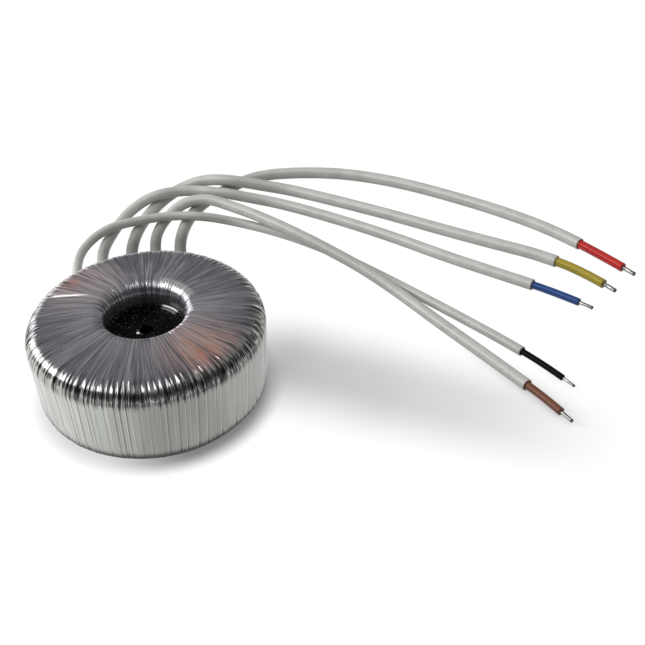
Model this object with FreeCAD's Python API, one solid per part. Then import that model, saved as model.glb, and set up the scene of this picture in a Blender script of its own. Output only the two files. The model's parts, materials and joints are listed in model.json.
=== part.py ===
"""Toroidal mains transformer, about 50 VA: a ring core with two windings, wrapped in clear film,
its centre filled with black resin round a screw hole, and five sleeved leads that leave the back
wall and lie on the surface that the transformer stands on.

Frame: origin at the middle of the base, +Z up, leads leaving towards +Y and ending towards +X.
Millimetres. The ring is built outwards from the core, layer by layer.
"""
import FreeCAD, Part
import math
import os

os.makedirs("parts", exist_ok=True)

# Core: steel strip wound into a ring
core_inner_radius = 20.9
core_outer_radius = 32.2
core_height = 19.0

# Layers over the core: thickness on the outer side, in the hole, and on each flat side
core_cover_wall = 0.6
primary_outer_wall = 2.0
primary_hole_wall = 2.6
primary_flat_wall = 2.1
barrier_wall = 0.4
secondary_outer_wall = 1.8
secondary_hole_wall = 2.4
secondary_flat_wall = 1.9
layer_gap = 0.1
winding_outer_chamfer = 3.0
winding_hole_chamfer = 2.0

# The outer winding's turns crowd towards the hole, so its top rises from the shoulder inwards
winding_crown = 1.6

# Film wrap: overlapping turns of clear film wound through the hole and round the outside
film_base_wall = 1.3
film_hole_wall = 1.2
film_flat_wall = 1.5
side_taper = 1.2
top_corner_radius = 6.6
base_corner_radius = 6.9
top_flare_radius = 3.0
base_flare_radius = 3.0
film_turns = 120
film_passes = 3
film_step = 0.4
film_edge_share = 0.28
seen_corner_facets = 3
hidden_corner_facets = 2

# Resin in the hole, cast with the transformer on a flat plate
screw_hole_radius = 2.25
screw_hole_chamfer = 0.5
resin_top_depth = 8.2
resin_side_gap = 0.05
meniscus_width = 1.2
meniscus_rise = 0.6

# Leads: outer sleeve, insulated wire and tinned conductor, in three gauges of radii
heavy_gauge = {"sleeve": 2.25, "wire": 1.7, "conductor": 0.8}
medium_gauge = {"sleeve": 2.1, "wire": 1.4, "conductor": 0.65}
light_gauge = {"sleeve": 1.75, "wire": 1.1, "conductor": 0.5}
sleeve_wall = 0.45
socket_depth = 5.0
conductor_fit = 0.05
conductor_bore_depth = 4.0
bare_length = 5.5
lead_exit_height = 10.0
lead_hole_clearance = 0.15
lead_end_gap = 0.3
bend_share = 0.45

# Solder joints between the leads and the winding ends, each in a pocket of the outer winding
splice_radius = 1.4
splice_depth = 1.2
splice_fit = 0.1

# Sizes that follow from the layers
cover_side = layer_gap + core_cover_wall
barrier_side = layer_gap + barrier_wall
primary_outer_side = layer_gap + primary_outer_wall
primary_hole_side = layer_gap + primary_hole_wall
primary_flat_side = layer_gap + primary_flat_wall
secondary_outer_side = layer_gap + secondary_outer_wall
secondary_hole_side = layer_gap + secondary_hole_wall
secondary_flat_side = layer_gap + secondary_flat_wall
build_outer = cover_side + primary_outer_side + barrier_side + secondary_outer_side
build_hole = cover_side + primary_hole_side + barrier_side + secondary_hole_side
build_flat = cover_side + primary_flat_side + barrier_side + secondary_flat_side
winding_outer_radius = core_outer_radius + build_outer
winding_hole_radius = core_inner_radius - build_hole
winding_height = core_height + 2 * build_flat
base_radius = winding_outer_radius + layer_gap + film_base_wall
body_radius = base_radius + side_taper
hole_radius = winding_hole_radius - layer_gap - film_hole_wall
shoulder_height = winding_height + 2 * (layer_gap + film_flat_wall)
body_height = shoulder_height + winding_crown
middle_height = shoulder_height / 2
resin_top = body_height - resin_top_depth

# Leads from left to right at the back wall: gauge, the angle where each leaves, how far before the
# wire's last bend its sleeve ends, and its route from just outside the wall to its tip
LEADS = {
    "black": (light_gauge, 122.0, 10.6, [
        (-26, 43.5, 9.5), (-30, 57.5, 3.6), (-32.8, 71.5, 1.85), (-31.1, 83.2, 3), (-21.9, 89.6, 7.1),
        (-9, 93.9, 6.7), (3, 95.4, 6.7), (15.5, 93.4, 6.7), (27.5, 94.4, 2.3), (43.5, 86.2, 1.85),
        (61, 72.9, 1.85), (77.5, 56.5, 1.85), (93, 40, 1.85), (109, 22.5, 1.85), (120.5, 9.5, 1.85),
        (132.5, -5, 1.75), (140.3, -16.3, 1.3)]),
    "blue": (medium_gauge, 110.5, 9.8, [
        (-18, 48, 9.5), (-21, 63.5, 3.7), (-23.8, 79.5, 2.2), (-20, 94.3, 2.2), (-13.8, 106, 3.6),
        (-4, 109.5, 7.7), (9, 112.3, 7), (22, 108.6, 7.1), (34, 107.6, 4), (47, 103.9, 2.2),
        (67, 91, 2.2), (87, 76.5, 2.2), (106, 61, 2.2), (123, 48.5, 2.2), (143, 34, 2.1),
        (153.9, 24.4, 1.6)]),
    "yellow": (heavy_gauge, 99.5, 11.4, [
        (-8, 50.5, 9.5), (-10.5, 65, 3.8), (-12.4, 80, 2.35), (-10.5, 94, 2.35), (-5.1, 107.4, 2.35),
        (3.2, 118.6, 2.9), (14.7, 120.1, 6.3), (26, 116.4, 7.5), (38, 115.5, 4.5), (50, 113.5, 2.35),
        (68, 103, 2.35), (87.5, 91, 2.35), (107, 78, 2.35), (126, 66, 2.35), (140, 57.5, 2.35),
        (154.5, 45, 2.25), (163.6, 32.9, 1.85)]),
    "brown": (medium_gauge, 89.0, 9.2, [
        (0.9, 51, 9.5), (-1.5, 65.5, 3.7), (-2.8, 77, 2.2), (-3.2, 84, 2.2), (-2.8, 91, 2.1),
        (0.2, 99, 2.9), (7.2, 104.2, 6.4), (17, 103.6, 8.2), (27, 97.6, 7.2), (36.5, 90.6, 6.9),
        (48, 80, 6.8), (61, 67.5, 6.1), (75, 53.5, 4.9), (88, 38.5, 2.7), (99, 22.5, 2.2),
        (110.5, 6, 2.2), (120, -8, 2.2), (130, -22.5, 2.1), (136.5, -33.7, 1.6)]),
    "red": (heavy_gauge, 78.0, 10.1, [
        (10.5, 50, 9.5), (8.5, 65, 3.8), (6, 79, 2.35), (7.5, 94, 2.35), (13.5, 108, 2.35),
        (23.8, 117.6, 2.35), (36, 126.2, 2.35), (53.5, 126.2, 2.35), (72.5, 122.5, 2.35),
        (92.5, 113.5, 2.35), (112.5, 100.5, 2.35), (131, 87, 2.35), (147.5, 72.5, 2.35),
        (162.6, 54.5, 2.25), (172.3, 41.8, 1.85)]),
}


def save(shape, node):
    """Write one sub-part."""
    shape.exportStep("parts/" + node + ".step")


def polar(radius, degrees, height):
    """Point at a radius and an angle about the axis."""
    angle = math.radians(degrees)
    return FreeCAD.Vector(radius * math.cos(angle), radius * math.sin(angle), height)


def revolved(outline):
    """Solid of revolution from a closed outline of (radius, height) corners."""
    corners = [FreeCAD.Vector(radius, 0, height) for radius, height in outline]
    face = Part.Face(Part.makePolygon(corners + [corners[0]]))
    return face.revolve(FreeCAD.Vector(0, 0, 0), FreeCAD.Vector(0, 0, 1), 360)


def ring(inner_radius, outer_radius, height, depth, crown=0.0):
    """Closed ring about the core's middle, its corners cut back less the deeper it lies.

    A crown raises the top evenly from its outer edge to the edge at the hole.
    """
    low = middle_height - height / 2
    high = middle_height + height / 2
    outer_cut = max(0.0, winding_outer_chamfer - depth)
    hole_cut = max(0.0, winding_hole_chamfer - depth)
    outline = [
        (inner_radius + hole_cut, low), (outer_radius - outer_cut, low),
        (outer_radius, low + outer_cut), (outer_radius, high - outer_cut),
        (outer_radius - outer_cut, high), (inner_radius + hole_cut, high + crown),
        (inner_radius, high + crown - hole_cut), (inner_radius, low + hole_cut)]
    corners = [point for index, point in enumerate(outline) if point != outline[index - 1]]
    return revolved(corners)


def layer(inner_radius, outer_radius, height, hole_wall, outer_wall, flat_wall, depth, crown=0.0):
    """Closed skin of a ring: what is wound round everything inside it."""
    skin = ring(inner_radius, outer_radius, height, depth, crown)
    inside = ring(inner_radius + hole_wall, outer_radius - outer_wall, height - 2 * flat_wall,
                  depth + flat_wall)
    return skin.cut(inside)


def rounded(centre_radius, centre_height, radius, first, last, facets):
    """Points and outward normals along a round corner of the wrap's section."""
    points = []
    for index in range(facets + 1):
        angle = math.radians(first + (last - first) * index / facets)
        out = math.cos(angle)
        up = math.sin(angle)
        points.append((centre_radius + radius * out, centre_height + radius * up, out, up))
    return points


def top_slope():
    """Degrees by which the top falls outwards, along the line that touches both its arcs."""
    across = body_radius - top_corner_radius - (hole_radius + top_flare_radius)
    up = body_height - top_flare_radius - (shoulder_height - top_corner_radius)
    lean = math.acos((top_corner_radius - top_flare_radius) / math.hypot(across, up))
    return math.degrees(lean - math.atan2(across, up))


def wrap_section():
    """The wrap's section, from the bottom of the hole out, up, in and back to the hole."""
    summit = 90 - top_slope()
    section = rounded(hole_radius + base_flare_radius, base_flare_radius, base_flare_radius,
                      180, 270, hidden_corner_facets)
    section += rounded(base_radius - base_corner_radius, base_corner_radius, base_corner_radius,
                       270, 360, hidden_corner_facets)
    section += rounded(body_radius - top_corner_radius, shoulder_height - top_corner_radius,
                       top_corner_radius, 0, summit, seen_corner_facets)
    section += rounded(hole_radius + top_flare_radius, body_height - top_flare_radius,
                       top_flare_radius, summit, 180, seen_corner_facets)
    return section


def wrap_rows():
    """Rings of points on the wrap: at each turn its raised edge and the foot of that edge.

    The film falls back by film_passes turns each time it goes once round the section, so the
    edges lean a little and join up into one winding.
    """
    section = wrap_section()
    around = [0.0]
    for start, end in zip(section, section[1:] + section[:1]):
        around.append(around[-1] + math.hypot(end[0] - start[0], end[1] - start[1]))
    pitch = 360.0 / film_turns
    rows = []
    for (radius, height, out, up), travelled in zip(section, around):
        behind = film_passes * travelled / around[-1]
        depth = film_step * (radius - hole_radius) / (body_radius - hole_radius)
        row = []
        for turn in range(film_turns):
            row.append(polar(radius, pitch * (turn - behind), height))
            row.append(polar(radius - depth * out, pitch * (turn - behind + film_edge_share),
                             height - depth * up))
        rows.append(row)
    return rows


def film_wrap():
    """The ridged film skin, hollow for the windings, with a hole for each lead."""
    rows = wrap_rows()
    columns = 2 * film_turns
    closing_row = [rows[0][(index - 2 * film_passes) % columns] for index in range(columns)]
    faces = []
    for lower, upper in zip(rows, rows[1:] + [closing_row]):
        for index in range(columns):
            following = (index + 1) % columns
            for corners in ((lower[index], lower[following], upper[following]),
                            (lower[index], upper[following], upper[index])):
                faces.append(Part.Face(Part.makePolygon(list(corners) + [corners[0]])))
    skin = Part.makeSolid(Part.makeShell(faces))
    cavity = ring(winding_hole_radius - layer_gap, winding_outer_radius + layer_gap,
                  winding_height + 2 * layer_gap, 0.0, winding_crown)
    skin = skin.cut(cavity)
    for name in LEADS:
        skin = skin.cut(lead_hole(name))
    return skin


def lead_start(name):
    """Where a lead begins, just outside the winding."""
    angle = LEADS[name][1]
    return polar(winding_outer_radius + lead_end_gap, angle, lead_exit_height)


def lead_route(name):
    """A lead's route from the winding to its tip."""
    return [lead_start(name)] + [FreeCAD.Vector(*point) for point in LEADS[name][3]]


def toward(start, end, distance):
    """Point at a distance from start, on the way to end."""
    step = end - start
    return start + step * (distance / step.Length)


def lead_hole(name):
    """Round hole in the wrap that a lead leaves through."""
    route = lead_route(name)
    outward = route[1] - route[0]
    radius = LEADS[name][0]["sleeve"] + lead_hole_clearance
    reach = body_radius - winding_outer_radius + radius
    return Part.makeCylinder(radius, reach, route[0], outward)


def cord_path(points, name):
    """Straight runs joined by tangent arcs, each as large as its two runs allow."""
    edges = []
    radii = []
    reached = points[0]
    for before, corner, after in zip(points, points[1:], points[2:]):
        back = before - corner
        ahead = after - corner
        half_turn = (math.pi - back.getAngle(ahead)) / 2
        tangent = bend_share * min(back.Length, ahead.Length)
        radius = tangent / math.tan(half_turn)
        arc_start = toward(corner, before, tangent)
        arc_end = toward(corner, after, tangent)
        inward = (back / back.Length + ahead / ahead.Length).normalize()
        arc_middle = corner + inward * (radius / math.cos(half_turn) - radius)
        edges.append(Part.LineSegment(reached, arc_start).toShape())
        edges.append(Part.Arc(arc_start, arc_middle, arc_end).toShape())
        radii.append(round(radius, 1))
        reached = arc_end
    edges.append(Part.LineSegment(reached, points[-1]).toShape())
    print(name, "bend radii", radii)
    return Part.Wire(edges)


def cord(points, radius, name):
    """Round solid along a cord's path, its volume compared with section times length."""
    path = cord_path(points, name)
    section = Part.Wire(Part.makeCircle(radius, points[0], points[1] - points[0]))
    solid = path.makePipeShell([section], True, False)
    expected = math.pi * radius ** 2 * path.Length
    print(name, "length", round(path.Length, 1), "volume share", round(solid.Volume / expected, 4))
    return solid


def drilled(solid, end, inside, radius, depth):
    """The solid with a round blind bore from its end, towards a point inside."""
    return solid.cut(Part.makeCylinder(radius, depth, end, inside - end))


def save_lead(name):
    """One lead: sleeve with a socket at its end, insulated wire in it, conductor in the wire."""
    gauge = LEADS[name][0]
    route = lead_route(name)
    last_bend = route[-2]
    tip = route[-1]
    sleeve_end = toward(last_bend, route[-3], LEADS[name][2])
    sleeve = cord(route[:-2] + [sleeve_end], gauge["sleeve"], name + " sleeve")
    sleeve = drilled(sleeve, sleeve_end, route[-3], gauge["sleeve"] - sleeve_wall, socket_depth)
    save(sleeve, "lead_sleeve_" + name)

    wire_start = toward(sleeve_end, route[-3], socket_depth)
    wire_end = toward(tip, last_bend, bare_length)
    wire = cord([wire_start, last_bend, wire_end], gauge["wire"], name + " wire")
    wire = drilled(wire, wire_end, last_bend, gauge["conductor"] + conductor_fit,
                   conductor_bore_depth)
    save(wire, "lead_wire_" + name)

    conductor_start = toward(wire_end, last_bend, conductor_bore_depth)
    conductor_length = bare_length + conductor_bore_depth
    conductor = Part.makeCylinder(gauge["conductor"], conductor_length, conductor_start,
                                  tip - conductor_start)
    save(conductor, "lead_conductor_" + name)


def splice(name, radius, depth):
    """Round plug at a lead's start, reaching into the outer winding."""
    angle = LEADS[name][1]
    start = polar(winding_outer_radius - depth, angle, lead_exit_height)
    return Part.makeCylinder(radius, depth, start, polar(1, angle, 0))


def save_core():
    """The steel ring and its insulating cover."""
    core = ring(core_inner_radius, core_outer_radius, core_height, winding_outer_chamfer)
    save(core, "core")
    cover = layer(core_inner_radius - cover_side, core_outer_radius + cover_side,
                  core_height + 2 * cover_side, core_cover_wall, core_cover_wall,
                  core_cover_wall, winding_outer_chamfer)
    save(cover, "core_cover")


def save_windings():
    """Primary winding, the barrier over it and the secondary winding with the lead pockets."""
    outer = core_outer_radius + cover_side + primary_outer_side
    hole = core_inner_radius - cover_side - primary_hole_side
    height = core_height + 2 * (cover_side + primary_flat_side)
    depth = barrier_side + secondary_flat_side
    save(layer(hole, outer, height, primary_hole_wall, primary_outer_wall, primary_flat_wall,
               depth), "primary_winding")

    outer += barrier_side
    hole -= barrier_side
    height += 2 * barrier_side
    depth -= barrier_side
    save(layer(hole, outer, height, barrier_wall, barrier_wall, barrier_wall, depth),
         "winding_barrier")

    secondary = layer(winding_hole_radius, winding_outer_radius, winding_height,
                      secondary_hole_wall, secondary_outer_wall, secondary_flat_wall, 0.0,
                      winding_crown)
    for name in LEADS:
        secondary = secondary.cut(splice(name, splice_radius + splice_fit, splice_depth))
    save(secondary, "secondary_winding")


def save_splices():
    """The five solder joints, as one group."""
    save(Part.makeCompound([splice(name, splice_radius, splice_depth) for name in LEADS]),
         "lead_splices")


def save_resin():
    """Cast centre: foot in the base flare, screw hole through it, meniscus at its top edge."""
    foot_radius, foot_height = wrap_section()[1][:2]
    side = hole_radius - resin_side_gap
    save(revolved([
        (screw_hole_radius, 0), (foot_radius - resin_side_gap, 0),
        (foot_radius - resin_side_gap, foot_height), (side, base_flare_radius),
        (side, resin_top + meniscus_rise), (side - meniscus_width, resin_top),
        (screw_hole_radius + screw_hole_chamfer, resin_top),
        (screw_hole_radius, resin_top - screw_hole_chamfer)]), "centre_resin")


save_core()
save_windings()
save_splices()
save(film_wrap(), "film_wrap")
save_resin()
for lead in LEADS:
    save_lead(lead)
print("body radius", round(body_radius, 2), "hole radius", round(hole_radius, 2),
      "height", round(body_height, 2))
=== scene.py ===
"""Looks of a toroidal transformer: a ring wrapped in clear ridged film, black resin in its centre,
and five sleeved leads that lie on the surface beside it. Metres, in the part's own frame.
"""
import json
import math
from collections import namedtuple

import bpy
import numpy as np
from mathutils import Euler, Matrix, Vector


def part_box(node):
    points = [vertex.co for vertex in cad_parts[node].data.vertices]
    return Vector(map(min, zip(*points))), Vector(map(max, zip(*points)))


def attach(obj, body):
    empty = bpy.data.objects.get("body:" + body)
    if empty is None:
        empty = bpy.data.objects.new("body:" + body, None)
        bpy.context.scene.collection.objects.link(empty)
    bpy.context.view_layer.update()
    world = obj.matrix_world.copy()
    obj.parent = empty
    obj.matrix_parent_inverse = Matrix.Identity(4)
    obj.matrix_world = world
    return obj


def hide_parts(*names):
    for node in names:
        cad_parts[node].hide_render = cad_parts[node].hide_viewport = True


bl_info = {
    "name": "Toroidal transformer looks",
    "version": (1, 0, 0),
    "blender": (4, 5, 0),
    "location": "3D View > Sidebar > Transformer",
    "description": "Film wrap, resin centre and sleeved leads of a toroidal transformer",
    "category": "Object",
}

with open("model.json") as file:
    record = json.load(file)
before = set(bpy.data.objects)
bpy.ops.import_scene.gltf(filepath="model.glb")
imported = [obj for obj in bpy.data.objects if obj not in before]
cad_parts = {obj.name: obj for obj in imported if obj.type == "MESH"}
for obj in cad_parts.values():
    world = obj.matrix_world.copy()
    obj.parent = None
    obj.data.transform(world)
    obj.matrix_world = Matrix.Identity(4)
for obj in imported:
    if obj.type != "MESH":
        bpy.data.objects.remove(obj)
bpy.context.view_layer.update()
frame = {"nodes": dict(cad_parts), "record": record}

MM = 0.001

# The lamp, 1 m away, and the two ends of the lit strip that reflections show, each by its azimuth
# and elevation in degrees; and the start and azimuth of the body's soft shadow on the floor, which
# is partly cast and partly painted shadow
LAMP_PLACE = (166, 24)
LAMP_SIZE = (0.8, 0.55)
STRIP_LOW_END = (137, 3)
STRIP_HIGH_END = (-148, 50)
STRIP_LIGHT = 2.8
SHADOW_PLACE = (47 * MM, 10 * MM)
SHADOW_AZIMUTH = -28.6

# Camera that matches the photograph: place, pitch below level, roll, and focal length
CAMERA_PLACE = (0.05833, -0.40335, 0.34030)
CAMERA_PITCH = 0.6658
CAMERA_ROLL = -0.0761
FOCAL_PIXELS = 1545
IMAGE_PIXELS = 645
SENSOR_MM = 36

# The wrapped body, its outer sizes taken from the solid that it replaces
_, film_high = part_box("film_wrap")
_, resin_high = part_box("centre_resin")
BODY_RADIUS = film_high.x
BODY_HEIGHT = film_high.z
HOLE_RADIUS = 13.2 * MM
CROWN = 1.6 * MM
SHOULDER_HEIGHT = BODY_HEIGHT - CROWN
SIDE_TAPER = 1.2 * MM
TOP_CORNER = 6.6 * MM
BASE_CORNER = 6.9 * MM
TOP_FLARE = 3.0 * MM
SOFT_FLARE = 5.4 * MM
BASE_FLARE = 3.0 * MM
FILM_PASSES = 3
LEAN_TURNS = 1.25

# Where the wrap differs round the axis, in degrees: its rim is softest, and a short stretch of it
# has a painted highlight; its pleats are deepest, with a painted dark reflection below them; and its
# top has painted shade, or painted light with a share of the full sheen
SOFT_AZIMUTH = 70
GLARE_AZIMUTH = 48
FRONT_AZIMUTH = -70
SHADE_AZIMUTH = 82
SHEENS = ((-22, 0.7), (128, 0.6))

# One fold stands up on the top: its outer end, the heading of its line, its height and half width,
# and how far in front of the line its painted highlight lies
FOLD_PLACE = (-31.3 * MM, 13.3 * MM)
FOLD_HEADING = (0.986, -0.168)
FOLD_HEIGHT = 0.28 * MM
FOLD_WIDTH = 0.6 * MM
FOLD_LIT_OFFSET = 0.3 * MM

# Colours laid over the film
# Painted shade at the foot of each turn's step, and painted highlight on its edge
PAINTED_STEP_DARK = (0.07, 0.072, 0.07)
PAINTED_EDGE_LIGHT = (0.88, 0.90, 0.87)
# Painted dark reflection below the pleats
PAINTED_REFLECTION_BLACK = (0.03, 0.03, 0.03)
# Painted highlight on a short stretch of the rim
PAINTED_GLARE_WHITE = (1.0, 1.0, 1.0)
# Painted dark reflections of crinkles
PAINTED_CRINKLE_BLACK = (0.025, 0.025, 0.025)
FIBRE_LIGHT = (0.90, 0.88, 0.91)
GAP_DARK = (0.10, 0.09, 0.11)
HOLE_SHADE = (0.16, 0.155, 0.17)
# Painted highlight on the fold
PAINTED_FOLD_WHITE = (1.0, 0.98, 1.0)

# The resin
RESIN_TOP = BODY_HEIGHT - 8.2 * MM
RESIN_SIDE_GAP = 0.05 * MM
MENISCUS_WIDTH = 1.2 * MM
MENISCUS_RISE = resin_high.z - RESIN_TOP
RESIN_RIM = 0.5 * MM
POOL_AZIMUTH = 52
DROP_AZIMUTH = -147
# Where the painted glint sits on the resin
PAINTED_GLINT_PLACE = (-2.6 * MM, -1.7 * MM, RESIN_TOP)
screw_hole = next(mount for mount in frame["record"]["mounts"] if mount["name"] == "screw_hole")
SCREW_HOLE_RADIUS = screw_hole["dims"]["r_mm"] * MM

# The leads, in three gauges given by diameters
Gauge = namedtuple("Gauge", "sleeve wire conductor")
HEAVY = Gauge(4.5 * MM, 3.4 * MM, 1.6 * MM)
MEDIUM = Gauge(4.2 * MM, 2.8 * MM, 1.3 * MM)
LIGHT = Gauge(3.5 * MM, 2.2 * MM, 1.0 * MM)
SLEEVE_WALL = 0.45 * MM
BARE_LENGTH = 5.5 * MM
LEAD_EXIT_RADIUS = 37.7 * MM
LEAD_EXIT_HEIGHT = 10.0 * MM
STRAND_PITCH = 36 * MM
SLEEVE_SIDES, WIRE_SIDES, STRAND_SIDES = 24, 28, 48

# Each lead: its gauge, the azimuth where it leaves the body, how far before the wire's last bend its
# sleeve ends, all as in the solids, and the route's points in millimetres
Lead = namedtuple("Lead", "gauge azimuth sleeve_back route")
LEADS = {
    "black": Lead(LIGHT, 122.0, 10.6, [
        (-26, 43.5, 9.5), (-30, 57.5, 3.6), (-32.8, 71.5, 1.85), (-31.1, 83.2, 3), (-21.9, 89.6, 7.1),
        (-9, 93.9, 6.7), (3, 95.4, 6.7), (15.5, 93.4, 6.7), (27.5, 94.4, 2.3), (43.5, 86.2, 1.85),
        (61, 72.9, 1.85), (77.5, 56.5, 1.85), (93, 40, 1.85), (109, 22.5, 1.85), (120.5, 9.5, 1.85),
        (132.5, -5, 1.75), (140.3, -16.3, 1.3)]),
    "blue": Lead(MEDIUM, 110.5, 9.8, [
        (-18, 48, 9.5), (-21, 63.5, 3.7), (-23.8, 79.5, 2.2), (-20, 94.3, 2.2), (-13.8, 106, 3.6),
        (-4, 109.5, 7.7), (9, 112.3, 7), (22, 108.6, 7.1), (34, 107.6, 4), (47, 103.9, 2.2),
        (67, 91, 2.2), (87, 76.5, 2.2), (106, 61, 2.2), (123, 48.5, 2.2), (143, 34, 2.1),
        (153.9, 24.4, 1.6)]),
    "yellow": Lead(HEAVY, 99.5, 11.4, [
        (-8, 50.5, 9.5), (-10.5, 65, 3.8), (-12.4, 80, 2.35), (-10.5, 94, 2.35), (-5.1, 107.4, 2.35),
        (3.2, 118.6, 2.9), (14.7, 120.1, 6.3), (26, 116.4, 7.5), (38, 115.5, 4.5), (50, 113.5, 2.35),
        (68, 103, 2.35), (87.5, 91, 2.35), (107, 78, 2.35), (126, 66, 2.35), (140, 57.5, 2.35),
        (154.5, 45, 2.25), (163.6, 32.9, 1.85)]),
    "brown": Lead(MEDIUM, 89.0, 9.2, [
        (0.9, 51, 9.5), (-1.5, 65.5, 3.7), (-2.8, 77, 2.2), (-3.2, 84, 2.2), (-2.8, 91, 2.1),
        (0.2, 99, 2.9), (7.2, 104.2, 6.4), (17, 103.6, 8.2), (27, 97.6, 7.2), (36.5, 90.6, 6.9),
        (48, 80, 6.8), (61, 67.5, 6.1), (75, 53.5, 4.9), (88, 38.5, 2.7), (99, 22.5, 2.2),
        (110.5, 6, 2.2), (120, -8, 2.2), (130, -22.5, 2.1), (136.5, -33.7, 1.6)]),
    "red": Lead(HEAVY, 78.0, 10.1, [
        (10.5, 50, 9.5), (8.5, 65, 3.8), (6, 79, 2.35), (7.5, 94, 2.35), (13.5, 108, 2.35),
        (23.8, 117.6, 2.35), (36, 126.2, 2.35), (53.5, 126.2, 2.35), (72.5, 122.5, 2.35),
        (92.5, 113.5, 2.35), (112.5, 100.5, 2.35), (131, 87, 2.35), (147.5, 72.5, 2.35),
        (162.6, 54.5, 2.25), (172.3, 41.8, 1.85)]),
}


# Shader expressions

def math_operator(operation, reflected=False):
    """Method that adds one Math node for a Python operator."""
    def apply(self, other):
        pair = (other, self) if reflected else (self, other)
        return self.shader.math(operation, *pair)
    return apply


class Value:
    """One output of a node, usable in arithmetic: each operator adds its Math node."""

    def __init__(self, shader, socket):
        self.shader = shader
        self.socket = socket

    __add__ = math_operator("ADD")
    __radd__ = math_operator("ADD", True)
    __sub__ = math_operator("SUBTRACT")
    __rsub__ = math_operator("SUBTRACT", True)
    __mul__ = math_operator("MULTIPLY")
    __rmul__ = math_operator("MULTIPLY", True)
    __truediv__ = math_operator("DIVIDE")


class Shader:
    """The node tree of a material or a world, emptied and under construction."""

    def __init__(self, owner):
        owner.use_nodes = True
        self.owner = owner
        self.tree = owner.node_tree
        self.tree.nodes.clear()

    def node(self, kind, inputs=None, **settings):
        """Add a node: its settings and a ramp's stops, then the values or links of its sockets."""
        made = self.tree.nodes.new(kind)
        stops = settings.pop("stops", ())
        for name, value in settings.items():
            setattr(made, name, value)
        for index, (position, grey) in enumerate(stops):
            if index < 2:
                stop = made.color_ramp.elements[index]
                stop.position = position
            else:
                stop = made.color_ramp.elements.new(position)
            stop.color = (grey, grey, grey, 1)
        for name, value in (inputs or {}).items():
            if isinstance(value, Value):
                self.tree.links.new(value.socket, made.inputs[name])
            else:
                made.inputs[name].default_value = value
        return made

    def out(self, kind, output, inputs=None, **settings):
        """Add a node and give one of its outputs as a value."""
        return Value(self, self.node(kind, inputs, **settings).outputs[output])

    def math(self, operation, *terms):
        """Math node on one, two or three terms."""
        return self.out("ShaderNodeMath", 0, dict(enumerate(terms)), operation=operation)

    def place(self):
        """The point on the piece, in metres."""
        return self.out("ShaderNodeTexCoord", "Object")

    def ray(self, kind):
        """1 where the ray that arrives is of one kind, such as Is Camera Ray."""
        return self.out("ShaderNodeLightPath", kind)

    def attribute(self, name):
        """A vector stored on the piece's points."""
        return self.out("ShaderNodeAttribute", "Vector", attribute_name=name)

    def parts(self, vector):
        """The three components of a vector."""
        split = self.node("ShaderNodeSeparateXYZ", {0: vector})
        return [Value(self, split.outputs[index]) for index in range(3)]

    def coordinates(self):
        """The point on the piece as x, y and z, and its distance from the axis."""
        x, y, z = self.parts(self.place())
        return x, y, z, self.math("SQRT", x * x + y * y)

    def stretched(self, vector, factors):
        """A vector with each component multiplied by its own factor."""
        return self.out("ShaderNodeVectorMath", 0, {0: vector, 1: factors}, operation="MULTIPLY")

    def dot(self, first, second):
        """Scalar product of a vector with another, which may be written as numbers."""
        return self.out("ShaderNodeVectorMath", "Value", {0: first, 1: second}, operation="DOT_PRODUCT")

    def noise(self, vector, scale=1.0, detail=2.0, roughness=0.5):
        """Smooth noise from 0 to 1."""
        return self.out("ShaderNodeTexNoise", 0, {
            "Vector": vector, "Scale": scale, "Detail": detail, "Roughness": roughness})

    def steps(self, value, low, high, start=0.0, end=1.0):
        """Smooth change from start to end as value goes from low to high."""
        return self.out("ShaderNodeMapRange", 0, {
            "Value": value, "From Min": low, "From Max": high, "To Min": start, "To Max": end,
        }, interpolation_type="SMOOTHSTEP")

    def mixed(self, factor, first, second):
        """Colour between two colours, each written as three numbers or given as a value."""
        def colour(term):
            return term if isinstance(term, Value) else (*term, 1)
        return self.out("ShaderNodeMix", 2, {
            0: factor, 6: colour(first), 7: colour(second)}, data_type="RGBA")

    def bumped(self, height, distance, strength):
        """Surface normal tilted by a height that varies over the surface."""
        return self.out("ShaderNodeBump", 0, {
            "Height": height, "Distance": distance, "Strength": strength})

    def finished(self, **sockets):
        """The material, with a main shader that has these sockets joined to its output."""
        inputs = {name.replace("_", " "): value for name, value in sockets.items()}
        main = self.out("ShaderNodeBsdfPrincipled", 0, inputs)
        self.node("ShaderNodeOutputMaterial", {"Surface": main})
        return self.owner


def new_shader(name):
    """Shader of a new material."""
    return Shader(bpy.data.materials.new(name))


# Surfaces

def heading(azimuth, elevation):
    """Direction from the part, given in degrees."""
    level = math.cos(math.radians(elevation))
    return Vector((level * math.cos(math.radians(azimuth)), level * math.sin(math.radians(azimuth)),
                   math.sin(math.radians(elevation))))


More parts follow.
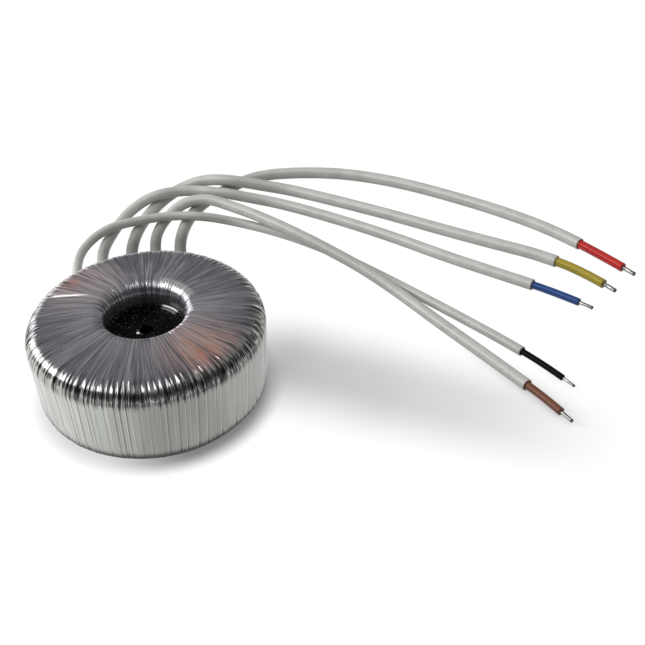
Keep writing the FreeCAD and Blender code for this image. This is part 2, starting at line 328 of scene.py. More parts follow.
def surface(name, grid, close_rows=False):
    """Mesh object from points on a grid of rows by columns, closed along each row.

    close_rows joins the last row to the first; otherwise one face closes each of them.
    """
    rows, columns = grid.shape[:2]
    index = np.arange(rows * columns).reshape(rows, columns)
    lower = index if close_rows else index[:-1]
    upper = np.roll(index, -1, axis=0) if close_rows else index[1:]
    quads = np.stack([lower, np.roll(lower, -1, axis=1), np.roll(upper, -1, axis=1), upper], axis=-1)
    loops = [quads.reshape(-1)]
    sizes = [np.full(quads.size // 4, 4)]
    if not close_rows:
        loops += [index[0, ::-1], index[-1]]
        sizes.append([columns, columns])
    loops = np.concatenate(loops).astype(np.int32)
    sizes = np.concatenate(sizes).astype(np.int32)
    starts = np.concatenate([[0], np.cumsum(sizes)[:-1]]).astype(np.int32)
    mesh = bpy.data.meshes.new(name)
    mesh.vertices.add(rows * columns)
    mesh.vertices.foreach_set("co", grid.reshape(-1).astype(np.float32))
    mesh.loops.add(len(loops))
    mesh.loops.foreach_set("vertex_index", loops)
    mesh.polygons.add(len(sizes))
    mesh.polygons.foreach_set("loop_start", starts)
    mesh.update(calc_edges=True)
    mesh.validate()
    mesh.shade_smooth()
    piece = bpy.data.objects.new(name, mesh)
    bpy.context.scene.collection.objects.link(piece)
    return piece


def turned(radius, angle, height):
    """Points given by their radius, angle round the axis, and height."""
    points = np.broadcast_arrays(radius * np.cos(angle), radius * np.sin(angle), height)
    return np.stack(points, axis=-1)


def store_vectors(piece, name, vectors):
    """Keep one vector for each point of a piece, for its material."""
    layer = piece.data.attributes.new(name, "FLOAT_VECTOR", "POINT")
    layer.data.foreach_set("vector", vectors.reshape(-1).astype(np.float32))


def arc(centre_radius, centre_height, radius, first, last, count):
    """Points and normals along an arc of the section: rows of radius, height, out and up."""
    angle = np.radians(np.linspace(first, last, count))
    out, up = np.cos(angle), np.sin(angle)
    return np.stack([centre_radius + radius * out, centre_height + radius * up, out, up], axis=1)


def between(start, end, count):
    """Rows evenly spaced inside the straight stretch from one row to another."""
    share = np.linspace(0, 1, count + 2)[1:-1, None]
    return start + share * (end - start)


def top_slope(flare):
    """Degrees by which the top falls outwards, along the line that touches both its arcs."""
    across = BODY_RADIUS - TOP_CORNER - (HOLE_RADIUS + flare)
    up = BODY_HEIGHT - flare - (SHOULDER_HEIGHT - TOP_CORNER)
    lean = math.acos((TOP_CORNER - flare) / math.hypot(across, up))
    return math.degrees(lean - math.atan2(across, up))


def film_section(flare):
    """The wrap's section as arcs joined by straight stretches, from the hole's foot round to it."""
    summit = 90 - top_slope(flare)
    foot = arc(HOLE_RADIUS + BASE_FLARE, BASE_FLARE, BASE_FLARE, 180, 270, 4)
    base = arc(BODY_RADIUS - SIDE_TAPER - BASE_CORNER, BASE_CORNER, BASE_CORNER, 270, 360, 8)
    corner = arc(BODY_RADIUS - TOP_CORNER, SHOULDER_HEIGHT - TOP_CORNER, TOP_CORNER, 0, summit, 17)
    rim = arc(HOLE_RADIUS + flare, BODY_HEIGHT - flare, flare, summit, 180, 11)
    return np.concatenate([
        foot, between(foot[-1], base[0], 2), base, between(base[-1], corner[0], 9), corner,
        between(corner[-1], rim[0], 10), rim, between(rim[-1], foot[0], 4)])


def wound_edges(random, turns, jitter):
    """Positions of the turns' edges, evenly spaced with a little jitter, one more than the turns."""
    edges = np.arange(turns) + random.uniform(-jitter, jitter, turns)
    return np.append(edges, edges[0] + turns)


def within_turn(position, edges):
    """Which turn each position is in, and how far through it, from 0 to 1."""
    turns = len(edges) - 1
    wrapped = np.mod(position - edges[0], turns) + edges[0]
    turn = np.clip(np.searchsorted(edges, wrapped, side="right") - 1, 0, turns - 1)
    return turn, (wrapped - edges[turn]) / (edges[turn + 1] - edges[turn])


def smooth(value, low, high):
    """0 below low, 1 above high, and a smooth change between."""
    share = np.clip((value - low) / (high - low), 0, 1)
    return share * share * (3 - 2 * share)


def fold_frame(x, y):
    """How far a point is along the fold from its outer end, and to the left of its line."""
    right, back = x - FOLD_PLACE[0], y - FOLD_PLACE[1]
    ahead = FOLD_HEADING[0] * right + FOLD_HEADING[1] * back
    beside = FOLD_HEADING[0] * back - FOLD_HEADING[1] * right
    return ahead, beside


def fold_relief(radius, angle, up):
    """Height of the fold: rounded off across its line and faded at its two ends."""
    ahead, beside = fold_frame(radius * np.cos(angle), radius * np.sin(angle))
    faded = smooth(ahead, -2 * MM, 2 * MM) * (1 - smooth(ahead, 8 * MM, 15 * MM)) * smooth(up, 0.9, 0.95)
    return FOLD_HEIGHT * faded * np.exp(-(beside / FOLD_WIDTH) ** 2)


def turn_relief(settings, random, angle, travel, lean):
    """How far through its turn each point is, the turn's strength, and three depths that it gives.

    Between a turn's edges a pleat is a round hollow, and a step rises quickly and falls off slowly.
    The level goes from the turn's own to the next one's.
    """
    turns = settings.turns
    position = angle / (2 * math.pi) * turns + FILM_PASSES * travel - lean
    turn, along = within_turn(position, wound_edges(random, turns, 0.42))
    strength = random.uniform(0.05, 1.0, turns)[turn]
    levels = random.uniform(0.0, 0.6, turns)
    pleat = (0.35 + 0.65 * strength) * (0.5 - 0.5 * np.cos(2 * math.pi * along))
    level = levels[turn] * (1 - along) + levels[(turn + 1) % turns] * along
    step = strength * np.where(along < 0.25, smooth(along, 0, 0.25), 1 - (along - 0.25) / 0.75)
    return along, strength, pleat, level, step


def crease_relief(settings, random, angle, travel):
    """Depth of the finer creases, which wander as they go round the section."""
    creases = settings.creases
    wander = 0.5 * np.sin(5 * angle + 9 * travel) + 0.35 * np.sin(13 * angle - 17 * travel)
    position = angle / (2 * math.pi) * creases + (FILM_PASSES + wander) * travel * 4
    crease, across = within_turn(position, wound_edges(random, creases, 0.4))
    return random.uniform(0.1, 1.0, creases)[crease] * (0.5 - 0.5 * np.cos(2 * math.pi * across))


def film_surface(settings):
    """The wrap: a section carried round the axis, lowered by the relief of its turns.

    A point is at section(row) round the axis by angle(column). It is moved in along the section's
    normal by the depth of the main turns, which lean because the film falls back as it goes round,
    plus that of the finer creases and of a slow swell, less the height of one fold on the top. A
    turn is a round pleat at the top corner, a flat band with a stepped edge on the side, and fades
    out on the top, where the creases run on into the hole.
    """
    random = np.random.default_rng(settings.seed)
    section = film_section(TOP_FLARE)
    soft_section = film_section(SOFT_FLARE)
    steps = np.hypot(*np.diff(np.vstack([section, section[:1]])[:, :2], axis=0).T)
    travel = (np.concatenate([[0], np.cumsum(steps)[:-1]]) / steps.sum())[:, None]
    angle = np.linspace(0, 2 * math.pi, settings.columns, endpoint=False)[None, :]
    softness = 0.5 + 0.5 * np.cos(angle - math.radians(SOFT_AZIMUTH))
    radius, height, out, up = (
        section[:, [column]] + softness * (soft_section - section)[:, [column]] for column in range(4))
    outer = smooth(radius, HOLE_RADIUS + 5 * MM, BODY_RADIUS - TOP_CORNER)
    corner = outer * smooth(up, 0.0, 0.4) * smooth(radius, 31 * MM, 36.5 * MM)
    side = smooth(out, 0.5, 0.95)
    rim = smooth(up, -0.2, 0.3) * (1 - smooth(radius, HOLE_RADIUS + 1 * MM, HOLE_RADIUS + 6 * MM))

    climbed = np.interp(travel, (0, 0.25, 0.5, 0.7, 1), (0.32, 0, 1, 1, 0.32))
    lean = climbed * (LEAN_TURNS + settings.lean * np.sin(angle + math.radians(95)))
    along, strength, pleat, level, step = turn_relief(settings, random, angle, travel, lean)
    crease = crease_relief(settings, random, angle, travel)
    front = 0.7 + 0.3 * np.cos(angle - math.radians(FRONT_AZIMUTH))
    crumple = 0.5 + 0.5 * np.sin(23 * angle + 60 * travel) * np.sin(37 * angle - 90 * travel)
    swell = 0.5 + 0.3 * np.sin(3 * angle + 1.3) + 0.2 * np.sin(7 * angle + 4 * travel)
    stepped = (corner * front * (pleat + 0.5 * level)
               + side * (1 - corner) * (0.45 * step + 0.5 * level) + 0.05 * outer * pleat)
    creased = crease * (0.3 + 1.7 * corner + 5.0 * rim * (0.4 + crumple))
    depth = (settings.step * stepped + settings.crease * creased + settings.swell * outer * swell
             - fold_relief(radius, angle, up))

    grid = turned(radius - depth * out, angle, height - depth * up)
    piece = surface("film", grid, close_rows=True)
    followed = angle + 2 * math.pi * (FILM_PASSES * travel - lean) / settings.turns
    store_vectors(piece, "winding", turned(1, followed, travel))
    store_vectors(piece, "turn", turned(1, 2 * math.pi * along, strength))
    return piece


def facing(x, y, radius, azimuth):
    """Cosine of the angle round the axis between a point and an azimuth in degrees."""
    towards = heading(azimuth, 0)
    return (x * towards.x + y * towards.y) / radius


def top_colour(shader, settings, x, y, radius, inward, bands, ragged):
    """Film on the top: lighter bands, two painted sheens, painted shade on its back, and patches of copper
    tint.
    """
    # Painted light: two broad sheens on the top, and painted shade towards its back
    sheen = 0.0
    for azimuth, share in SHEENS:
        sheen = shader.steps(facing(x, y, radius, azimuth), 0.75, 1.0) * share * inward + sheen
    shade = shader.steps(facing(x, y, radius, SHADE_AZIMUTH), 0.3, 0.95)
    colour = shader.mixed(bands * 0.45 + inward * 0.3 + sheen * 0.5 - 0.25 * shade,
                          settings.top_dark, settings.top_light)
    for azimuth, distance, size, tint in (
            (-46, 28 * MM, 18 * MM, settings.copper_tint), (140, 29 * MM, 17 * MM, settings.pink_tint),
            (-49, 31 * MM, 6 * MM, settings.orange_tint), (142, 32 * MM, 5 * MM, settings.orange_tint)):
        centre = heading(azimuth, 0) * distance
        right, back = x - centre.x, y - centre.y
        off = shader.math("SQRT", right * right + back * back)
        colour = shader.mixed(shader.steps(off, size, 0.2 * size) * ragged, colour, tint)
    return colour


def turn_lines(shader, on_side, shoulder):
    """Painted highlight on the edge of each turn on the side, and painted shade at the foot of its step."""
    across, beside, strength = shader.parts(shader.attribute("turn"))
    away = shader.math("ARCTAN2", beside, across) * (1 / (2 * math.pi))
    spread = shader.math("ABSOLUTE", away)
    light = (1.0 - shader.steps(spread, 0.02, 0.13)) * strength * on_side
    foot = shader.math("ABSOLUTE", away - 0.19)
    dark = (1.0 - shader.steps(foot / (1.0 + shoulder), 0.02, 0.15)) * on_side
    dark = dark * (strength * (1.0 - shoulder) + shoulder * shader.steps(strength, 0.1, 0.6))
    return light, dark


def fold_light(shader, x, y, z):
    """Painted highlight on the fold's lit flank, a thin line on the top."""
    ahead, beside = fold_frame(x, y)
    off = shader.math("ABSOLUTE", beside + FOLD_LIT_OFFSET)
    lit = shader.steps(off, 0.6 * MM, 0.15 * MM) * shader.steps(ahead, -2 * MM, 1.5 * MM)
    return lit * shader.steps(ahead, 15 * MM, 7 * MM) * shader.steps(z, 30 * MM, 32 * MM)


def film_material(settings):
    """Clear film over the winding: silvery, its turns' edges in painted highlight and shade, copper tinted
    in places.

    Three noises follow the winding, from broad to fine as a hair, and make its bands, its light
    fibres, the dark gaps between them and the painted dark reflections of crinkles at the two edges of the
    top.
    """
    shader = new_shader("wound_film")
    x, y, z, radius = shader.coordinates()
    on_side = shader.steps(radius, 35 * MM, 38 * MM)
    on_top = 1.0 - on_side
    inward = shader.steps(radius, 34 * MM, 15 * MM)
    shoulder = shader.steps(z, SHOULDER_HEIGHT - 9 * MM, SHOULDER_HEIGHT - 5.5 * MM)
    in_hole = 1.0 - shader.steps(z, RESIN_TOP + 1 * MM, BODY_HEIGHT - 2.5 * MM)
    in_hole = in_hole * (1.0 - shader.steps(radius, HOLE_RADIUS + 1 * MM, HOLE_RADIUS + 4 * MM))

    winding = shader.attribute("winding")
    broad = shader.noise(shader.stretched(winding, (7, 7, 4)), detail=3)
    streak = shader.noise(shader.stretched(winding, (40, 40, 5)), detail=3, roughness=0.6)
    hair = shader.noise(shader.stretched(winding, (95, 95, 9)), detail=2, roughness=0.6)
    bands = shader.steps(streak * 0.35 + broad * 0.65, 0.40, 0.60)
    ragged = shader.steps(streak * 1.4 + broad * 0.6, 0.75, 1.15)
    fibres = shader.steps(hair * 0.7 + streak * 0.3, 0.50, 0.64) * on_top
    gaps = shader.steps(hair * 0.6 + streak * 0.4, 0.50, 0.38) * on_top
    # Painted dark reflections: black marks of crinkles on the shoulder, at the top's outer edge and at the
    # hole
    edges = (on_side * shoulder + 0.7 * on_top * shader.steps(radius, 32 * MM, 35.5 * MM)
             + 0.8 * shader.steps(radius, 18 * MM, 15 * MM))
    painted_crinkle_reflections = shader.steps(hair * 0.4 + streak * 0.6, 0.53, 0.41) * edges

    # Painted highlight and painted shade along the steps of the turns
    painted_edge_highlight, painted_step_shade = turn_lines(shader, on_side, shoulder)
    painted_fold_highlight = fold_light(shader, x, y, z)
    # Painted highlight: white on a short stretch of the rim's flare, a little rougher there
    painted_glare = shader.steps(facing(x, y, radius, GLARE_AZIMUTH), 0.84, 0.96)
    painted_glare = painted_glare * shader.steps(radius, 18.8 * MM, 17.2 * MM)
    painted_glare = painted_glare * shader.steps(z, BODY_HEIGHT - 3 * MM, BODY_HEIGHT - 1.2 * MM)
    # Painted dark reflection: black on the side just below the shoulder, strongest in front
    painted_dark_band = shader.steps(z, SHOULDER_HEIGHT - 7 * MM, SHOULDER_HEIGHT - 5.6 * MM) * on_side
    painted_dark_band = painted_dark_band * shader.steps(z, SHOULDER_HEIGHT - 1.8 * MM, SHOULDER_HEIGHT - 3.5 * MM)
    painted_dark_band = painted_dark_band * shader.steps(facing(x, y, radius, FRONT_AZIMUTH), 0.35, 0.85)
    painted_dark_band = painted_dark_band * shader.steps(hair, 0.58, 0.44, 0.25, 1.0)

    top = top_colour(shader, settings, x, y, radius, inward, bands, ragged)
    side = shader.mixed(bands, settings.side_dark, settings.side_light)
    colour = shader.mixed(on_top, side, top)
    for share, laid_over in (
            (painted_step_shade * (0.45 + 0.5 * shoulder), PAINTED_STEP_DARK),
            (painted_edge_highlight * 0.8, PAINTED_EDGE_LIGHT),
            (painted_dark_band * 0.85, PAINTED_REFLECTION_BLACK),
            (painted_glare * 0.9, PAINTED_GLARE_WHITE),
            (painted_crinkle_reflections * 0.9, PAINTED_CRINKLE_BLACK),
            (fibres * (0.4 + 0.4 * inward), FIBRE_LIGHT),
            (gaps * (0.25 + 0.45 * bands), GAP_DARK),
            (in_hole * 0.6, HOLE_SHADE),
            (painted_fold_highlight, PAINTED_FOLD_WHITE)):
        colour = shader.mixed(share, colour, laid_over)

    rough = shader.steps(streak * 0.5 + broad * 0.5, 0.3, 0.7, 0.06, 0.12) + 0.06 * on_top + 0.06 * painted_glare
    normal = shader.bumped(hair * 0.6 + streak * 0.4 + painted_edge_highlight * 0.5, 0.14 * MM, 0.5)
    return shader.finished(Base_Color=colour, Metallic=0.85 - 0.8 * painted_fold_highlight, Roughness=rough,
                           Normal=normal, Coat_Weight=0.3, Coat_Roughness=0.05)


def resin_surface():
    """Cast centre, turned about the axis: underside, side, meniscus, level top and screw hole.

    The top is lowered by low swells that die out at its rims, so it looks poured.
    """
    side = HOLE_RADIUS - RESIN_SIDE_GAP
    inner = SCREW_HOLE_RADIUS
    climb = np.linspace(0, 1, 10)
    top_radius = np.linspace(side - MENISCUS_WIDTH, inner + RESIN_RIM, 18)[1:]
    outline = np.concatenate([
        [(inner, 0), (inner + 2 * MM, 0), (side, 0), (side, 9 * MM), (side, 18 * MM), (side, RESIN_TOP)],
        np.stack([side - MENISCUS_WIDTH * climb, RESIN_TOP + MENISCUS_RISE * (1 - climb) ** 2], 1),
        np.stack([top_radius, 0 * top_radius + RESIN_TOP], 1),
        arc(inner + RESIN_RIM, RESIN_TOP - RESIN_RIM, RESIN_RIM, 90, 180, 6)[:, :2],
        [(inner, 20 * MM), (inner, 10 * MM)]])
    angle = np.linspace(0, 2 * math.pi, 96, endpoint=False)[None, :]
    radius, height = outline[:, [0]], outline[:, [1]]
    level = (height >= RESIN_TOP - 1e-6) * np.sin(
        math.pi * np.clip((radius - inner - RESIN_RIM) / (side - inner - RESIN_RIM), 0, 1))
    swells = 0.5 + 0.25 * np.sin(3 * angle + 500 * radius) + 0.25 * np.sin(5 * angle - 700 * radius + 2)
    return surface("resin", turned(radius, angle, height - 0.12 * MM * level * swells), close_rows=True)


def resin_material(settings):
    """Black casting resin: glossy, faintly uneven, with pale specks and one painted glint.

    It is wet where the meniscus faces the pool of light, and at the screw hole's lip.
    """
    shader = new_shader("black_resin")
    place = shader.place()
    specks = shader.steps(shader.noise(place, 2200, 1), 0.70, 0.77)
    off_painted_glint = shader.out("ShaderNodeVectorMath", "Value", {0: place, 1: PAINTED_GLINT_PLACE}, operation="DISTANCE")
    colour = shader.mixed(specks, settings.resin_colour, (0.35, 0.35, 0.36))
    # Painted glint: a small white spot at the screw hole's lip
    colour = shader.mixed(shader.steps(off_painted_glint, 0.75 * MM, 0.3 * MM), colour, (0.9, 0.9, 0.9))
    rough = shader.steps(shader.noise(place, 260, 3), 0.35, 0.7, 0.12, 0.26)
    normal = shader.bumped(shader.noise(place, 420, 4, 0.6), 0.3 * MM, 0.5)
    x, y, _, radius = shader.coordinates()
    pool = shader.steps(radius, HOLE_RADIUS - 2.2 * MM, HOLE_RADIUS - 1.4 * MM)
    pool = pool * shader.steps(facing(x, y, radius, POOL_AZIMUTH), 0.955, 0.985)
    drop = shader.steps(radius, SCREW_HOLE_RADIUS + 1.2 * MM, SCREW_HOLE_RADIUS + 0.6 * MM)
    drop = drop * shader.steps(facing(x, y, radius, DROP_AZIMUTH), 0.7, 0.95)
    return shader.finished(Base_Color=colour, Roughness=rough, Normal=normal, IOR=1.17,
                           Coat_Weight=pool + drop, Coat_Roughness=0.16, Coat_IOR=3.2)


# Leads

def lead_start(name):
    """Where a lead begins, just inside the wrap."""
    angle = math.radians(LEADS[name].azimuth)
    return Vector((LEAD_EXIT_RADIUS * math.cos(angle), LEAD_EXIT_RADIUS * math.sin(angle),
                   LEAD_EXIT_HEIGHT))


def lead_line(name):
    """Points close together along a lead's curve, from the winding to its tip."""
    points = [lead_start(name)] + [Vector(point) * MM for point in LEADS[name].route]
    curve = bpy.data.curves.new("route", "CURVE")
    curve.dimensions = "3D"
    curve.resolution_u = 24
    spline = curve.splines.new("NURBS")
    spline.points.add(len(points) - 1)
    for control, point in zip(spline.points, points):
        control.co = (*point, 1)
    spline.order_u = 3
    spline.use_endpoint_u = True
    holder = bpy.data.objects.new("route", curve)
    mesh = bpy.data.meshes.new_from_object(holder)
    line = np.zeros(len(mesh.vertices) * 3)
    mesh.vertices.foreach_get("co", line)
    bpy.data.meshes.remove(mesh)
    bpy.data.objects.remove(holder)
    bpy.data.curves.remove(curve)
    return line.reshape(-1, 3)


def lengths_along(line):
    """Distance of each point of a line from its start."""
    return np.concatenate([[0], np.cumsum(np.linalg.norm(np.diff(line, axis=0), axis=1))])


def at_lengths(line, wanted):
    """Points of a line at the wanted distances from its start."""
    along = lengths_along(line)
    return np.stack([np.interp(wanted, along, line[:, axis]) for axis in range(3)], axis=1)


def lead_stretches(name):
    """A lead's line and the distances where its sleeve and its insulation end."""
    line = lead_line(name)
    last_bend, tip = (Vector(point) * MM for point in LEADS[name].route[-2:])
    total = lengths_along(line)[-1]
    insulation_end = total - BARE_LENGTH
    sleeve_end = total - (tip - last_bend).length - LEADS[name].sleeve_back * MM
    return line, sleeve_end, insulation_end


def carried(name, line, along, radius, sides, lobes=None):
    """A round profile carried along a line and closed at both ends.

    Ring k is centred on the line at distance along[k] and has radius[k]. Its plane is square to
    the line, with one axis level. lobes(angle, along) multiplies the radius round each ring.
    """
    centre = at_lengths(line, along)
    step = 0.2 * MM
    tangent = at_lengths(line, along + step) - at_lengths(line, along - step)
    tangent /= np.linalg.norm(tangent, axis=1, keepdims=True)
    level = np.cross(tangent, (0, 0, 1))
    level /= np.linalg.norm(level, axis=1, keepdims=True)
    raised = np.cross(level, tangent)
    angle = np.linspace(0, 2 * math.pi, sides, endpoint=False)
    reach = radius[:, None] * (1 if lobes is None else lobes(angle[None, :], along[:, None]))
    grid = (centre[:, None] + reach[..., None] * (
        np.cos(angle)[None, :, None] * level[:, None] + np.sin(angle)[None, :, None] * raised[:, None]))
    piece = surface(name, grid)
    store_vectors(piece, "around", turned(1, angle[None, :], along[:, None]))
    return piece


def sleeve_wave(angle, distance):
    """Slight flattening of a sleeve that turns slowly along it."""
    return 1 - 0.006 * (1 + np.sin(2 * angle + 90 * distance))


def strand_lobes(angle, distance):
    """Six shallow lobes that turn with the distance, as twisted strands do."""
    return 0.94 + 0.06 * np.abs(np.cos(3 * (angle - 2 * math.pi * distance / STRAND_PITCH)))


def sleeve_piece(name):
    """Sleeve of one lead, a round tube, hollow at its cut end, its rim slightly rounded; and its path."""
    line, end, _ = lead_stretches(name)
    outer = LEADS[name].gauge.sleeve / 2
    inner = outer - SLEEVE_WALL
    body = np.arange(0, end - 1.0 * MM, 0.9 * MM)
    rim = end + np.array([-0.5, -0.12, 0, 0, -0.1, -0.5, -3.0]) * MM
    rim_radius = np.array([outer, outer, outer - 0.12 * MM, inner + 0.1 * MM, inner, inner, inner])
    along = np.concatenate([body, rim])
    radius = np.concatenate([np.full(len(body), outer), rim_radius])
    piece = carried("sleeve_" + name, line, along, radius, SLEEVE_SIDES, sleeve_wave)
    return piece, at_lengths(line, np.arange(0, end, 1.0 * MM).tolist() + [end])


def wire_piece(name):
    """Insulated wire of one lead, from inside the sleeve to its square cut end."""
    line, start, end = lead_stretches(name)
    body = np.arange(start - 2.5 * MM, end - 0.3 * MM, 0.6 * MM)
    along = np.concatenate([body, end + np.array([-0.25, -0.08, 0, 0, -0.4]) * MM])
    outer, inner = LEADS[name].gauge.wire / 2, LEADS[name].gauge.conductor / 2 + 0.05 * MM
    radius = np.concatenate([np.full(len(body), outer), [
        outer, outer - 0.03 * MM, outer - 0.12 * MM, inner, inner]])
    return carried("wire_" + name, line, along, radius, WIRE_SIDES)


def conductor_piece(name):
    """Tinned strands of one lead, twisted, with the painted shade of the cut end stored for its finish."""
    line, _, start = lead_stretches(name)
    end = lengths_along(line)[-1]
    body = np.arange(start - 2.0 * MM, end - 0.2 * MM, 0.2 * MM)
    along = np.concatenate([body, end + np.array([-0.12, 0]) * MM])
    outer = LEADS[name].gauge.conductor / 2
    radius = np.concatenate([np.full(len(body), outer), [outer, outer - 0.12 * MM]])
    piece = carried("conductor_" + name, line, along, radius, STRAND_SIDES, strand_lobes)
    cut = np.repeat(1 - smooth(end - along, 0.2 * MM, 0.7 * MM), STRAND_SIDES)
    store_vectors(piece, "cut", np.stack([cut, cut, cut], axis=-1))
    return piece


def sleeve_material(settings):
    """Warm light grey PVC: satin, faintly mottled and drawn, with painted shade close behind the body."""
    shader = new_shader("sleeve_pvc")
    around = shader.attribute("around")
    mottle = shader.noise(shader.place(), 160, 4, 0.6)
    drawn = shader.noise(shader.stretched(around, (3, 3, 25)), 1, 2)
    colour = shader.mixed(shader.steps(mottle * 0.6 + drawn * 0.4, 0.35, 0.65),
                          settings.sleeve_shade, settings.sleeve_colour)
    x, _, _, radius = shader.coordinates()
    # Painted shade: darker and less glossy close behind the body, less on the left
    shade = shader.steps(radius, 97 * MM, 80 * MM)
    shade = shade * shader.steps(x, -32 * MM, -14 * MM, 0.3, 1.0)
    colour = shader.mixed(shade * 0.85, colour, (0.11, 0.11, 0.10))
    rough = shader.steps(mottle, 0.3, 0.7, 0.3, 0.42)
    grain = shader.noise(shader.place(), 1800, 3)
    normal = shader.bumped(grain * 0.15 + drawn * 0.85, 0.05 * MM, 0.5)
    return shader.finished(Base_Color=colour, Roughness=rough, Normal=normal,
                           Coat_Weight=0.5 - 0.35 * shade, Coat_Roughness=0.33, Coat_IOR=1.8)


def wire_material(name, colour):
    """PVC insulation: faint drawn lines, a little uneven depth, and less gloss on the black one."""
    shader = new_shader("insulation_" + name)
    around = shader.attribute("around")
    drawn = shader.noise(shader.stretched(around, (2, 2, 60)), 1, 1)
    mottle = shader.noise(shader.place(), 140, 2)
    deep = tuple(0.75 * part for part in colour)
    shade = shader.mixed(shader.steps(mottle * 0.5 + drawn * 0.5, 0.3, 0.65), deep, tuple(colour))
    rough = shader.steps(mottle, 0.3, 0.7, 0.2, 0.3)
    normal = shader.bumped(drawn, 0.05 * MM, 0.4)
    dull = max(colour) < 0.05
    return shader.finished(Base_Color=shade, Roughness=rough, Normal=normal, IOR=1.15 if dull else 1.33,
                           Coat_Weight=0.1 if dull else 0.3, Coat_Roughness=0.22, Coat_IOR=1.6)


def tin_material():
    """Tinned copper: bright, with dull streaks along the strands and painted shade on the cut end."""
    shader = new_shader("tinned_strands")
    around = shader.attribute("around")
    streak = shader.noise(shader.stretched(around, (5, 5, 400)), 1, 3)
    colour = shader.mixed(shader.steps(streak, 0.35, 0.65), (0.30, 0.29, 0.28), (0.78, 0.77, 0.75))
    cut, _, _ = shader.parts(shader.attribute("cut"))
    # Painted shade darkens the strands at their cut end
    colour = shader.mixed(cut * 0.85, colour, (0.05, 0.05, 0.05))
    rough = shader.steps(streak, 0.3, 0.7, 0.16, 0.3)
    return shader.finished(Base_Color=colour, Metallic=1.0, Roughness=rough,
                           Normal=shader.bumped(streak, 0.04 * MM, 0.5))


# Hidden pieces keep their solids and get their own finishes

def wound_material(name, low, high, metallic, turns=0, rings=0,
                   mottling=300, bump=(0.2 * MM, 0.6), least_rough=0.3):
    """Wound layer: fine ridges side by side round the axis, or rings about it."""
    shader = new_shader(name)
    x, y, _, radius = shader.coordinates()
    ridge = shader.math("SINE", shader.math("ARCTAN2", y, x) * turns + radius * rings)
    mottle = shader.noise(shader.place(), mottling, 3)
    colour = shader.mixed(shader.steps(ridge * 0.3 + mottle, 0.2, 0.8), low, high)
    rough = shader.steps(mottle, 0.3, 0.7, least_rough, least_rough + 0.15)
    return shader.finished(Base_Color=colour, Metallic=metallic, Roughness=rough,
                           Normal=shader.bumped(ridge, *bump))


def colour_property(name, description, default):
    """Colour picker of a settings group."""
    return bpy.props.FloatVectorProperty(
        name=name, description=description, subtype="COLOR", size=3, min=0, max=1, default=default)


class FilmSettings(bpy.types.PropertyGroup):
    """Sizes and colours of the film wrap."""

    turns: bpy.props.IntProperty(
        name="Turns", description="Turns of film round the ring", default=120, min=12)
    creases: bpy.props.IntProperty(
        name="Creases", description="Finer creases round the ring", default=260, min=12)
    columns: bpy.props.IntProperty(
        name="Columns", description="Points round the ring", default=1440, min=24)
    lean: bpy.props.FloatProperty(
        name="Lean", description="Turns by which the winding leans more at the right than in front",
        default=0.45)
    step: bpy.props.FloatProperty(
        name="Step", description="Depth of the deepest pleat at the top corner", unit="LENGTH",
        default=0.5 * MM, min=0)
    crease: bpy.props.FloatProperty(
        name="Crease depth", description="Depth of the finer creases", unit="LENGTH",
        default=0.04 * MM, min=0)
    swell: bpy.props.FloatProperty(
        name="Swell", description="Depth of the slow unevenness round the ring", unit="LENGTH",
        default=0.12 * MM, min=0)
    seed: bpy.props.IntProperty(
        name="Seed", description="Choice of the uneven turns", default=7, min=0)
    top_light: colour_property("Light top", "Film on the top, in its light bands", (0.69, 0.66, 0.71))
    top_dark: colour_property("Dark top", "Film on the top, in its dark bands", (0.26, 0.247, 0.28))
    side_light: colour_property("Light side", "Film on the side, in light bands", (0.61, 0.635, 0.595))
    side_dark: colour_property("Dark side", "Film on the side, in dark bands", (0.54, 0.56, 0.525))
    copper_tint: colour_property("Copper tint", "Winding seen through it in front", (1.0, 0.62, 0.52))
    pink_tint: colour_property("Pink tint", "Winding seen through it at the back", (1.0, 0.82, 0.81))
    orange_tint: colour_property("Orange tint", "Winding seen through it most", (1.0, 0.48, 0.36))


class ResinSettings(bpy.types.PropertyGroup):
    """Colour of the resin."""

    resin_colour: colour_property("Resin", "Casting resin in the centre", (0.001, 0.001, 0.0012))


class LeadSettings(bpy.types.PropertyGroup):
    """Colours of the leads."""

    sleeve_colour: colour_property("Sleeve", "Outer sleeve", (0.50, 0.50, 0.475))
    sleeve_shade: colour_property("Sleeve shade", "Darker mottling of the sleeve", (0.41, 0.41, 0.385))
    black: colour_property("Black wire", "Insulation", (0.003, 0.003, 0.0035))
    blue: colour_property("Blue wire", "Insulation", (0.018, 0.06, 0.22))
    yellow: colour_property("Yellow wire", "Insulation", (0.35, 0.27, 0.028))
    brown: colour_property("Brown wire", "Insulation", (0.17, 0.065, 0.038))
    red: colour_property("Red wire", "Insulation", (0.47, 0.02, 0.018))


class StageSettings(bpy.types.PropertyGroup):
    """Light and floor."""

    key_power: bpy.props.FloatProperty(
        name="Key light", description="Power of the wide lamp at the left", unit="POWER",
        default=10.5, min=0)
    fill: bpy.props.FloatProperty(
        name="Fill", description="Soft light from above", default=0.4, min=0)


class TRANSFORMER_OT_film(bpy.types.Operator):
    """Film wrap with its ridged turns"""
    bl_idname = "transformer.film"
    bl_label = "Film wrap"

    def execute(self, context):
        settings = context.scene.transformer_film
        piece = film_surface(settings)
        piece.data.materials.append(film_material(settings))
        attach(piece, "root")
        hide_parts("film_wrap")
        return {"FINISHED"}


class TRANSFORMER_OT_resin(bpy.types.Operator):
    """Black resin cast in the centre"""
    bl_idname = "transformer.resin"
    bl_label = "Resin centre"

    def execute(self, context):
        piece = resin_surface()
        piece.data.materials.append(resin_material(context.scene.transformer_resin))
        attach(piece, "root")
        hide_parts("centre_resin")
        return {"FINISHED"}


